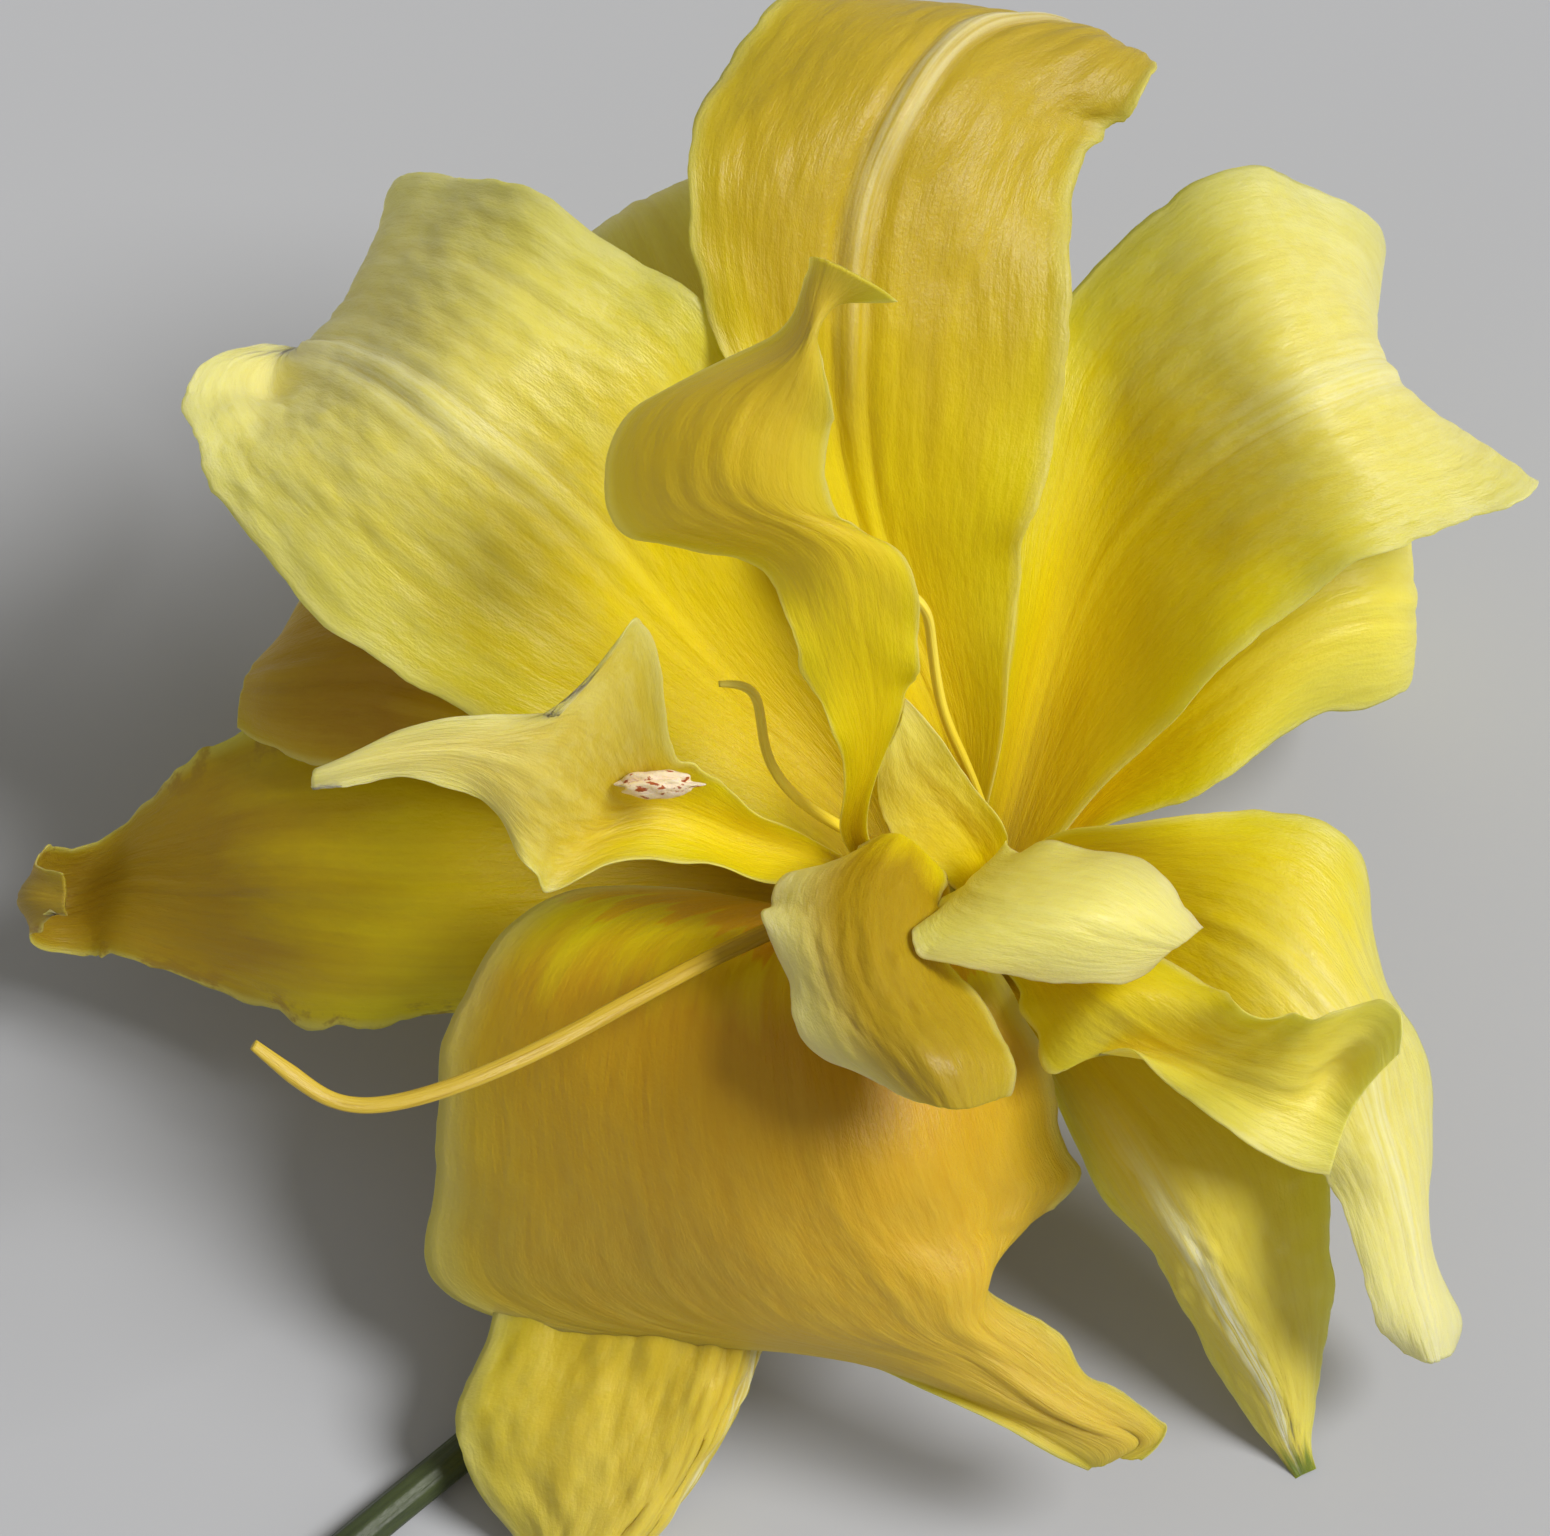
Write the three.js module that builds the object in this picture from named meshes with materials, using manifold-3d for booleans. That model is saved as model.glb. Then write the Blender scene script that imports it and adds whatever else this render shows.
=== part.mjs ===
// Double daylily flower (Hemerocallis), cut with a short length of stalk and laid face up.
// It rests on the drooping tips of four sepals and on its stalk.
// It has five petals, six sepals and six petaloids.
// Millimetres, +Z up. The origin is on the surface, under the middle of the flower's outline.
import * as THREE from 'three';
import { mergeVertices } from 'three/addons/utils/BufferGeometryUtils.js';
import Module from 'manifold-3d';

const wasm = await Module();
wasm.setup();

// ---- driving dimensions -------------------------------------------------------------------------
const THROAT = [16.3, -5.8, 36.9]; // centre of the flower's throat
const FOOT_HEIGHT = -9; // where the tepals leave the tube, below the throat
const OUTER_RING = 7.5; // radius of the ring that the sepals stand on
const INNER_RING = 5; // radius of the ring that the petals stand on
const PETALOID_RING = 2.6; // radius of the ring that the small inner petaloids stand on
const FOOT_SPREAD = 0.5; // half the angle that one foot takes up on its ring, in radians
const TEPAL_THICKNESS = 0.8;
const PETALOID_THICKNESS = 0.7;
const GAP = 0.3; // clearance between pieces that would touch
const TUBE_RADIUS = 8.6;
const TUBE_LENGTH = 17;
const PEDICEL_RADIUS = 2.6;
const STALK_RADIUS = 1.7;
const STYLE_RADIUS = 0.75;
const FILAMENT_RADIUS = 0.6;
const ANTHER_SIZE = [7, 2.4, 2.2];
const ANTHER_PLACE = [-25, -4, 22];
const ANTHER_TILT = 0.3; // how far its outer end droops, in radians
const CLAIM_RIM = 0.02; // how far a tepal's clearance reaches past its margins, as a share of its size
const SMALLEST_STEP = 0.01; // shape finer than this is left out after a cut
const TUBE_SIDES = 24;
const SHOULDER_DROP = 4; // how far below its rim the tube starts to narrow
const WAIST_DROP = 10; // how far below its rim the tube has narrowed to its waist
const SHOULDER_STEP = 0.9; // how much narrower than its rim the tube is at its shoulder
const WAIST_STEP = 3.6; // how much narrower than its rim the tube is at its waist
const PEDICEL_TAPER = 0.4; // how much the pedicel narrows over its last millimetre
const THREAD_SIDES = 3; // segments in each quarter of a thread's section
const STALK_SIDES = 4;
const PETALOID_MESH = [10, 6]; // steps along and across
const TEPAL_MESH = [14, 8];

// ---- the tepals' shapes -------------------------------------------------------------------------
// A tepal points away from the throat along its azimuth, in degrees. Each row crosses it once, from
// foot to tip, as three points: its left margin, its midrib and its right margin. A point is
// [reach along the azimuth, side to the left, height above the throat].

const SEPALS = {
  left_sepal: {
    azimuth: 180,
    colour: 0xb09a2c,
    rows: [
      [[17, 2, -11], [17, -5, -13], [17, -10, -8]],
      [[29, 7, -13], [29, -4, -11], [31, -14, -7]],
      [[41, 7, -15], [42, -2, -9], [45, -21, -4]],
      [[52, 6, -18], [52, -3, -10], [55, -21, -6]],
      [[60, 4, -20], [61, -5, -12], [63, -19, -9]],
      [[68, 0, -21], [68, -7, -16], [69, -17, -12]],
      [[75, -3, -22], [74, -9, -19], [74, -15, -16]],
      [[78, -4, -23], [78, -10, -23], [78, -13, -19]],
      [[82, -4, -21], [82, -9, -23], [81, -12, -17]],
      [[82, -3, -16], [83, -6, -16], [82, -9, -14]],
      [[79, -3, -13], [79, -4, -13], [79, -6, -11]],
    ],
  },
  second_left_sepal: {
    azimuth: 160,
    colour: 0xa89428,
    rows: [
      [[15, 1, -6], [16, -3, -7], [16, -6, -4]],
      [[30, 3, -2], [30, -3, -1], [30, -7, 3]],
      [[44, 6, 0], [44, -1, 4], [44, -11, 7]],
      [[54, 8, -1], [54, 0, 4], [53, -10, 5]],
      [[60, 8, -2], [61, 2, 2], [61, -8, 2]],
      [[65, 6, -4], [66, 2, -2], [65, -4, -3]],
    ],
  },
  back_left_sepal: {
    azimuth: 115,
    colour: 0xc9b23c,
    rows: [
      [[21, 3, -1], [21, -2, -2], [18, -6, -1]],
      [[34, 7, 7], [35, -2, 9], [35, -10, 12]],
      [[48, 9, 14], [48, 0, 16], [49, -9, 19]],
      [[60, 6, 15], [60, 0, 17], [61, -8, 19]],
      [[69, 5, 9], [69, -1, 11], [69, -8, 12]],
      [[73, 8, -4], [74, 0, -4], [73, -8, -4]],
      [[72, 7, -19], [73, 1, -20], [72, -5, -20]],
      [[66, 8, -34], [66, 6, -36.5], [66, 4, -35.5]],
    ],
  },
  right_sepal: {
    azimuth: 15,
    colour: 0xe3d058,
    rows: [
      [[13, 8, -5], [15, 8, -9], [15, 4, -7]],
      [[26, 18, 5], [26, 11, 0], [23, 3, -3]],
      [[38, 23, 9], [37, 13, 6], [33, 6, -1]],
      [[46, 26, 7], [45, 14, 4], [41, 8, -3]],
      [[51, 29, 0], [49, 18, -4], [47, 12, -8]],
      [[53, 35, -11], [52, 26, -15], [49, 18, -19]],
      [[52, 38, -24], [52, 32, -27], [49, 26, -29]],
      [[50, 36, -34.5], [49, 34, -36.5], [48, 32, -36]],
    ],
  },
  front_right_sepal: {
    azimuth: -60,
    colour: 0xdcc957,
    rows: [
      [[8, 8, -8], [9, 3, -9], [8, -2, -10]],
      [[21, 12, -8], [17, 3, -8], [12, 0, -9]],
      [[31, 18, -11], [27, 4, -9], [20, 0, -13]],
      [[37, 17, -17], [35, 5, -14], [30, 1, -18]],
      [[42, 15, -24], [40, 6, -21], [36, 2, -24]],
      [[47, 12, -31], [46, 7, -28], [43, 4, -31]],
      [[50, 9, -35], [49, 7, -33.5], [48, 5, -35]],
      [[52, 8, -36.5], [52, 7, -36.5], [52, 6, -36.5]],
    ],
  },
  front_left_sepal: {
    azimuth: -125,
    colour: 0xcfb944,
    rows: [
      [[8, 2, -12], [11, -4, -13], [10, -9, -12]],
      [[18, 1, -16], [22, -3, -14], [25, -13, -15]],
      [[29, 3, -21], [34, 0, -16], [39, -16, -17]],
      [[37, 6, -26], [40, 3, -20], [51, -14, -23]],
      [[42, 7, -29], [47, 5, -25], [58, -12, -28]],
      [[48, 6, -33], [53, 6, -29], [61, -7, -32]],
      [[55, 6, -36], [60, 5, -33], [63, -1, -35]],
      [[64, 6, -36.5], [65, 5, -36.5], [65, 4, -36.5]],
    ],
  },
};

const PETALS = {
  top_petal: {
    azimuth: 95,
    colour: 0xe0cc44,
    rows: [
      [[12, 3, 7], [12, -1, 2], [12, -6, 5]],
      [[22, 11, 21], [23, 4, 15], [21, -8, 17]],
      [[34, 17, 33], [33, 6, 29], [30, -12, 27]],
      [[46, 19, 41], [43, 4, 39], [43, -14, 34]],
      [[57, 15, 42], [52, -1, 43], [52, -17, 34]],
      [[66, 7, 39], [61, -8, 40], [53, -20, 36]],
      [[69, 1, 30], [65, -16, 34], [59, -23, 35]],
      [[70, -9, 23], [67, -18, 26], [65, -23, 29]],
    ],
  },
  upper_right_petal: {
    azimuth: 35,
    colour: 0xe6d24c,
    rows: [
      [[12, 9, 5], [16, 8, 0], [16, -1, 0]],
      [[20, 18, 15], [26, 13, 10], [25, -3, 11]],
      [[32, 30, 22], [34, 12, 20], [34, -4, 19]],
      [[43, 31, 28], [40, 9, 27], [43, -6, 22]],
      [[51, 29, 31], [47, 8, 27], [50, -7, 21]],
      [[58, 24, 27], [55, 10, 19], [57, -7, 19]],
      [[62, 21, 17], [57, 13, 9], [59, 1, 11]],
      [[60, 21, 4], [59, 16, 0], [59, 11, 2]],
    ],
  },
  upper_left_petal: {
    azimuth: 150,
    colour: 0xdacb68,
    rows: [
      [[13, 4, -1], [13, -3, -2], [11, -7, 2]],
      [[24, 9, 6], [26, -3, 9], [23, -14, 13]],
      [[39, 15, 15], [36, -2, 22], [34, -20, 30]],
      [[52, 16, 21], [45, -1, 30], [43, -21, 36]],
      [[64, 13, 25], [54, -2, 32], [55, -22, 36]],
      [[71, 8, 27], [65, -6, 25], [68, -25, 27]],
      [[74, 1, 26], [71, -9, 17], [71, -24, 19]],
      [[73, -10, 14], [72, -16, 10], [72, -23, 11]],
    ],
  },
  lower_right_petal: {
    azimuth: -25,
    colour: 0xe8d750,
    rows: [
      [[7, 5, 3], [9, 2, -1], [9, -3, -4]],
      [[18, 8, 10], [19, 2, 5], [18, -7, 1]],
      [[29, 13, 9], [29, 0, 9], [26, -10, 3]],
      [[38, 9, -1], [38, -3, 6], [33, -13, 3]],
      [[44, 5, -9], [43, -6, -1], [39, -13, -1]],
      [[48, -2, -16], [47, -9, -8], [43, -13, -7]],
      [[52, -8, -23], [51, -13, -16], [48, -17, -14]],
      [[55, -12, -26], [54, -15, -23], [52, -17, -21]],
    ],
  },
  bottom_petal: {
    azimuth: -95,
    colour: 0xc8a828,
    rows: [
      [[7, 3, -1], [5, -8, -2], [2, -20, -4]],
      [[12, 6, 2], [15, -12, 7], [6, -34, 0]],
      [[16, 9, -3], [23, -11, 7], [14, -41, -1]],
      [[19, 11, -8], [30, -9, 3], [20, -43, -6]],
      [[23, 12, -14], [34, -6, -3], [28, -43, -13]],
      [[27, 9, -15], [37, -2, -8], [33, -43, -22]],
      [[33, 6, -14], [39, 1, -12], [37, -31, -22]],
      [[36, 11, -16], [40, 6, -15], [39, -12, -21]],
      [[39, 16, -18], [42, 13, -19], [41, 2, -20]],
      [[41, 21, -21], [43, 19, -22], [44, 11, -22]],
      [[43, 20, -24], [44, 18, -24], [45, 16, -25]],
    ],
  },
};

// The petaloids are stamens grown into small crumpled petals, crowded in the throat.
const PETALOIDS = {
  left_petaloid: {
    azimuth: 180,
    colour: 0xe8dc92,
    rows: [
      [[9, 4, 4], [10, 2, 4], [11, 1, 6]],
      [[18, 8, 13], [18, 3, 11], [18, 2, 16]],
      [[25, 8, 17], [25, 3, 16], [22, 2, 22]],
      [[32, 12, 19], [30, 5, 18], [24, 2, 25]],
      [[36, 12, 22], [34, 7, 27], [26, -3, 37]],
      [[40, 9, 28], [39, 7, 32], [32, 3, 34]],
      [[46, 9, 32], [46, 8, 34], [41, 5, 35]],
      [[53, 11, 33], [53, 10, 34], [52, 9, 34]],
    ],
  },
  upper_petaloid: {
    azimuth: 120,
    colour: 0xd8c45c,
    rows: [
      [[3, 9, 8], [3, 8, 8], [2, 7, 8]],
      [[3, 9, 20], [3, 7, 19], [3, 5, 21]],
      [[6, 10, 28], [5, 6, 28], [4, 2, 28]],
      [[10, 11, 36], [8, 6, 37], [5, 1, 34]],
      [[16, 13, 40], [11, 7, 44], [9, 1, 41]],
      [[20, 19, 41], [15, 12, 48], [12, 5, 45]],
      [[25, 19, 44], [18, 12, 52], [15, 4, 50]],
      [[28, 14, 49], [20, 8, 55], [17, 3, 54]],
      [[24, 5, 54], [20, 4, 58], [20, 2, 58]],
      [[24, 2, 59], [22, 1, 60], [22, -1, 59]],
      [[26, 0, 61], [23, -1, 63], [19, -5, 61]],
    ],
  },
  lower_petaloid: {
    azimuth: -100,
    colour: 0xdccb70,
    rows: [
      [[3, 0, 5], [3, -4, 7], [3, -7, 6]],
      [[7, 0, 10], [6, -4, 14], [7, -8, 12]],
      [[11, 1, 13], [12, -5, 18], [12, -13, 15]],
      [[16, 2, 15], [20, -4, 21], [17, -13, 17]],
      [[21, 6, 16], [26, -1, 22], [23, -11, 18]],
      [[25, 9, 17], [30, 2, 23], [28, -8, 18]],
      [[29, 9, 16], [33, 5, 20], [31, -2, 18]],
    ],
  },
  right_petaloid: {
    azimuth: -20,
    colour: 0xebe08a,
    rows: [
      [[5, 1, 3], [4, -1, 3], [3, -4, 4]],
      [[6, -2, 11], [4, -8, 14], [2, -15, 17]],
      [[10, -3, 16], [8, -12, 20], [4, -19, 20]],
      [[15, -3, 18], [14, -12, 22], [10, -18, 19]],
      [[21, -5, 18], [19, -11, 20], [16, -16, 17]],
      [[24, -6, 15], [23, -9, 16], [21, -11, 15]],
    ],
  },
  ruffled_petaloid: {
    azimuth: -45,
    colour: 0xd9c74e,
    rows: [
      [[14, 1, 5], [14, -2, 4], [13, -5, 2]],
      [[24, 3, 11], [22, -4, 10], [19, -8, 3]],
      [[33, 3, 13], [28, -1, 6], [23, -6, 4]],
      [[38, 6, 16], [36, 0, 10], [32, -5, 8]],
      [[42, 9, 18], [40, 3, 10], [40, -4, 7]],
      [[44, 8, 15], [43, 4, 9], [45, -1, 6]],
    ],
  },
  inner_petaloid: {
    azimuth: 45,
    colour: 0xf0da48,
    rows: [
      [[4, -3, 4], [2, -2, 1], [-2, -2, 2]],
      [[3, 0, 10], [1, 1, 7], [-4, 2, 6]],
      [[2, 3, 16], [-1, 4, 13], [-4, 5, 11]],
      [[1, 7, 20], [-1, 6, 18], [-3, 6, 16]],
    ],
  },
};

// The thread-like pieces and the stalk follow curves through points in flower coordinates.
const STYLE_ROUTE = [
  [0, 0, -8.6], [-4, -2, 1], [-11, -7, 6], [-23, -16, 11], [-36, -26, 15],
  [-48, -31, 16], [-54, -30, 18], [-58, -28, 21],
];
const LEFT_FILAMENT_ROUTE = [[-6, 1, 2], [-9, 0, 7], [-13, 0, 12], [-16, 2, 17], [-17, 4, 23], [-20, 4, 25]];
const RIGHT_FILAMENT_ROUTE = [[3, 6, 0], [1, 6, 9], [-1, 8, 15], [-2, 11, 21], [-3, 12, 25], [-6, 13, 28]];
const STALK_ROUTE = [
  [0, 0, -26.4], [0, 0, -28], [-2, -2, -32.5], [-6, -6, -34.6], [-11, -10, -35],
  [-30, -28, -35], [-53, -49, -35], [-62, -58, -35],
];

// ---- surfaces -----------------------------------------------------------------------------------

// Natural cubic through evenly spaced points: gives the point at t, from 0 at the first to 1 at the last.
function spline(points) {
  const last = points.length - 1;
  const bend = points.map(() => [0, 0, 0]);
  const factor = points.map(() => 0);
  for (let i = 1; i < last; i++) {
    const pivot = 4 - factor[i - 1];
    factor[i] = 1 / pivot;
    for (let k = 0; k < 3; k++) {
      const turn = 6 * (points[i - 1][k] - 2 * points[i][k] + points[i + 1][k]);
      bend[i][k] = (turn - bend[i - 1][k]) / pivot;
    }
  }
  for (let i = last - 1; i > 0; i--) {
    for (let k = 0; k < 3; k++) bend[i][k] -= factor[i] * bend[i + 1][k];
  }
  return (t) => {
    const x = t * last;
    const i = Math.min(Math.max(Math.floor(x), 0), last - 1);
    const b = x - i;
    const a = 1 - b;
    return [0, 1, 2].map((k) => a * points[i][k] + b * points[i + 1][k]
      + ((a ** 3 - a) * bend[i][k] + (b ** 3 - b) * bend[i + 1][k]) / 6);
  };
}

function foot(radius) {
  return [1, 0, -1].map((side) => [
    radius * Math.cos(FOOT_SPREAD * side), radius * Math.sin(FOOT_SPREAD * side), FOOT_HEIGHT,
  ]);
}

// Turns a tepal's own [reach, side, height] into flower coordinates.
function turned([reach, side, height], azimuth) {
  const angle = THREE.MathUtils.degToRad(azimuth);
  return [
    reach * Math.cos(angle) - side * Math.sin(angle),
    reach * Math.sin(angle) + side * Math.cos(angle),
    height,
  ];
}

// The tepal's middle surface as a grid of points; rim widens it past its margins and tip.
function sheetGrid({ azimuth, rows }, ring, along, across, rim) {
  const placed = [foot(ring), ...rows].map((row) => row.map((point) => turned(point, azimuth)));
  const lines = [0, 1, 2].map((column) => spline(placed.map((row) => row[column])));
  const grid = [];
  for (let i = 0; i <= along; i++) {
    const u = i / along * (1 + rim);
    const cross = spline(lines.map((line) => line(u)));
    const row = [];
    for (let j = 0; j <= across; j++) {
      const v = j / across * (1 + 2 * rim) - rim;
      row.push(new THREE.Vector3(...cross(v)));
    }
    grid.push(row);
  }
  return grid;
}

function gridNormal(grid, i, j) {
  const last = grid.length - 1;
  const lastAcross = grid[0].length - 1;
  const along = grid[Math.min(i + 1, last)][j].clone().sub(grid[Math.max(i - 1, 0)][j]);
  const over = grid[i][Math.min(j + 1, lastAcross)].clone().sub(grid[i][Math.max(j - 1, 0)]);
  return along.cross(over).normalize();
}

// A closed sheet of even thickness about a grid of points.
function thicken(grid, thickness) {
  const rows = grid.length;
  const columns = grid[0].length;
  const positions = [];
  for (const side of [0.5, -0.5]) {
    grid.forEach((row, i) => row.forEach((point, j) => {
      positions.push(...point.clone().addScaledVector(gridNormal(grid, i, j), side * thickness).toArray());
    }));
  }
  const upper = (i, j) => i * columns + j;
  const lower = (i, j) => rows * columns + i * columns + j;
  const index = [];
  const quad = (a, b, c, d) => index.push(a, b, c, a, c, d);
  for (let i = 0; i < rows - 1; i++) {
    for (let j = 0; j < columns - 1; j++) {
      quad(upper(i, j), upper(i + 1, j), upper(i + 1, j + 1), upper(i, j + 1));
      quad(lower(i, j), lower(i, j + 1), lower(i + 1, j + 1), lower(i + 1, j));
    }
    const end = columns - 1;
    quad(upper(i, 0), lower(i, 0), lower(i + 1, 0), upper(i + 1, 0));
    quad(upper(i, end), upper(i + 1, end), lower(i + 1, end), lower(i, end));
  }
  for (let j = 0; j < columns - 1; j++) {
    const end = rows - 1;
    quad(upper(0, j), upper(0, j + 1), lower(0, j + 1), lower(0, j));
    quad(upper(end, j), lower(end, j), lower(end, j + 1), upper(end, j + 1));
  }
  const geometry = new THREE.BufferGeometry();
  geometry.setAttribute('position', new THREE.Float32BufferAttribute(positions, 3));
  geometry.setIndex(index);
  return geometry;
}

// A round thread along a route.
function thread(route, radius, steps, sides) {
  const section = new THREE.Shape();
  section.absarc(0, 0, radius, 0, 2 * Math.PI, false);
  const path = new THREE.CatmullRomCurve3(route.map((point) => new THREE.Vector3(...point)));
  return new THREE.ExtrudeGeometry(section, { steps, curveSegments: sides, extrudePath: path });
}

// ---- solids -------------------------------------------------------------------------------------

function toSolid(geometry) {
  const bare = geometry.clone();
  bare.deleteAttribute('normal');
  bare.deleteAttribute('uv');
  const merged = mergeVertices(bare, 1e-4);
  return new wasm.Manifold(new wasm.Mesh({
    numProp: 3,
    vertProperties: new Float32Array(merged.attributes.position.array),
    triVerts: new Uint32Array(merged.index.array),
  }));
}

function toGeometry(solid) {
  const mesh = solid.getMesh();
  const geometry = new THREE.BufferGeometry();
  geometry.setAttribute('position', new THREE.Float32BufferAttribute(mesh.vertProperties, 3));
  geometry.setIndex(new THREE.Uint32BufferAttribute(mesh.triVerts, 1));
  geometry.computeVertexNormals();
  return geometry;
}

function largestBody(solid) {
  return solid.decompose().reduce((best, body) => (body.volume() > best.volume() ? body : best));
}

// ---- assembly -----------------------------------------------------------------------------------

const flower = new THREE.Group();
flower.name = 'daylily_flower';
const taken = []; // the space that earlier pieces hold, with their clearance

// Adds a piece, cut back from the space that is already taken, and then takes its own space.
function addPiece(name, geometry, claimed, colour) {
  let solid = toSolid(geometry);
  for (const space of taken) solid = solid.subtract(space);
  solid = largestBody(solid.simplify(SMALLEST_STEP));
  taken.push(toSolid(claimed));
  const material = new THREE.MeshStandardMaterial({ color: colour, roughness: 0.6, metalness: 0 });
  const mesh = new THREE.Mesh(toGeometry(solid), material);
  mesh.name = name;
  mesh.position.set(...THROAT);
  flower.add(mesh);
}

function addThread(name, route, radius, steps, sides, colour) {
  addPiece(name, thread(route, radius, steps, sides), thread(route, radius + GAP, steps, sides), colour);
}

function addTepals(tepals, ring, thickness, [along, across]) {
  for (const [name, tepal] of Object.entries(tepals)) {
    const body = thicken(sheetGrid(tepal, ring, along, across, 0), thickness);
    const claimed = thicken(sheetGrid(tepal, ring, along, across, CLAIM_RIM), thickness + 2 * GAP);
    addPiece(name, body, claimed, tepal.colour);
  }
}

// The funnel that the tepals grow from, narrowing to the ovary, with its top just below their feet.
function addTube() {
  const top = FOOT_HEIGHT - GAP;
  const end = top - TUBE_LENGTH;
  const profile = [
    [0, end], [PEDICEL_RADIUS - PEDICEL_TAPER, end], [PEDICEL_RADIUS, end + 1],
    [TUBE_RADIUS - WAIST_STEP, top - WAIST_DROP], [TUBE_RADIUS - SHOULDER_STEP, top - SHOULDER_DROP],
    [TUBE_RADIUS, top], [0, top],
  ].map(([radius, height]) => new THREE.Vector2(radius, height));
  const geometry = new THREE.LatheGeometry(profile, TUBE_SIDES);
  geometry.rotateX(Math.PI / 2);
  addPiece('perianth_tube', geometry, geometry, 0x9aa03c);
}

// What is left of an anther, sitting on the left petaloid.
function addAntherRemnant() {
  const [width, depth, height] = ANTHER_SIZE;
  const geometry = new THREE.SphereGeometry(0.5, 12, 8);
  geometry.scale(width, depth, height);
  geometry.rotateY(ANTHER_TILT);
  geometry.translate(...ANTHER_PLACE);
  addPiece('anther_remnant', geometry, geometry, 0xe9d9b4);
}

addThread('style', STYLE_ROUTE, STYLE_RADIUS, 36, THREAD_SIDES, 0xe2c243);
addThread('left_filament', LEFT_FILAMENT_ROUTE, FILAMENT_RADIUS, 18, THREAD_SIDES, 0xe8cd3e);
addThread('right_filament', RIGHT_FILAMENT_ROUTE, FILAMENT_RADIUS, 18, THREAD_SIDES, 0xe8cd3e);
addTube();
addThread('stalk', STALK_ROUTE, STALK_RADIUS, 34, STALK_SIDES, 0x3d4a35);
addTepals(PETALOIDS, PETALOID_RING, PETALOID_THICKNESS, PETALOID_MESH);
addAntherRemnant();
addTepals(PETALS, INNER_RING, TEPAL_THICKNESS, TEPAL_MESH);
addTepals(SEPALS, OUTER_RING, TEPAL_THICKNESS, TEPAL_MESH);

export default flower;
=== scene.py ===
"""Looks of a double yellow daylily flower, cut with a short stalk and laid face up.

Every tepal is one curved sheet through a few listed rows, with ruffles, veins and crinkles
added along it. Shapes are given in millimetres about the flower's throat and placed by the frame.
"""

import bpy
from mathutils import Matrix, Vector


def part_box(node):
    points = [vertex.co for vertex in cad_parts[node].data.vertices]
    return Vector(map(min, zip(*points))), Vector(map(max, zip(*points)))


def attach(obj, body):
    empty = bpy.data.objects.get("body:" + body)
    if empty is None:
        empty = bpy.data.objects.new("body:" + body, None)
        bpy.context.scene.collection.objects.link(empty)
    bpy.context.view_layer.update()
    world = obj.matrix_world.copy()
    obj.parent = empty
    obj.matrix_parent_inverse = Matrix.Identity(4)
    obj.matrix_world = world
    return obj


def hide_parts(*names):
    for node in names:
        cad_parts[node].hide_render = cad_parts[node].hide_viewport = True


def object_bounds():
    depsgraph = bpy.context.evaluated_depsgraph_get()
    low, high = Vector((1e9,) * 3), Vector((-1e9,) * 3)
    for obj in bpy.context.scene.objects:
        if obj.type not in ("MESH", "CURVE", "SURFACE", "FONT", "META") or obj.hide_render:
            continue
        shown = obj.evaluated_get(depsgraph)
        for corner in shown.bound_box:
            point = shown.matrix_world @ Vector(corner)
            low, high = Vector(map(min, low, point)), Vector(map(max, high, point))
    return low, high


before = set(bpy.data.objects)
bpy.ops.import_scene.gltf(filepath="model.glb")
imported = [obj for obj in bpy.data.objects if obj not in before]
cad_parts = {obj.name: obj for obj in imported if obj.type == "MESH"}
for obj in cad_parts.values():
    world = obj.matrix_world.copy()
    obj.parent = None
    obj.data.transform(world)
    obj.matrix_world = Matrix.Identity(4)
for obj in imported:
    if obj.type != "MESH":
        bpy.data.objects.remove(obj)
cad_bounds = [list(corner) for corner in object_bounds()]

import math

import bpy
import numpy as np
from mathutils import Vector

MM = 0.001
TAU = 2 * math.pi

# ---- places that come from the frame -------------------------------------------------------------

FOOT_HEIGHT = -9.0  # where the tepals leave the tube, in millimetres above the throat
TUBE_GAP = 0.3  # from the tube's top to the tepals' feet
tube_low, tube_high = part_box("perianth_tube")
THROAT = Vector((
    (tube_low.x + tube_high.x) / 2,
    (tube_low.y + tube_high.y) / 2,
    tube_high.z + (TUBE_GAP - FOOT_HEIGHT) * MM,
))

# ---- the tepals' shapes --------------------------------------------------------------------------
# A tepal points away from the throat along its azimuth, in degrees. Each row crosses it once, from
# foot to tip, as three points: left margin, midrib and right margin. A point is
# [reach along the azimuth, side to the left, height above the throat], in millimetres.

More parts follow.
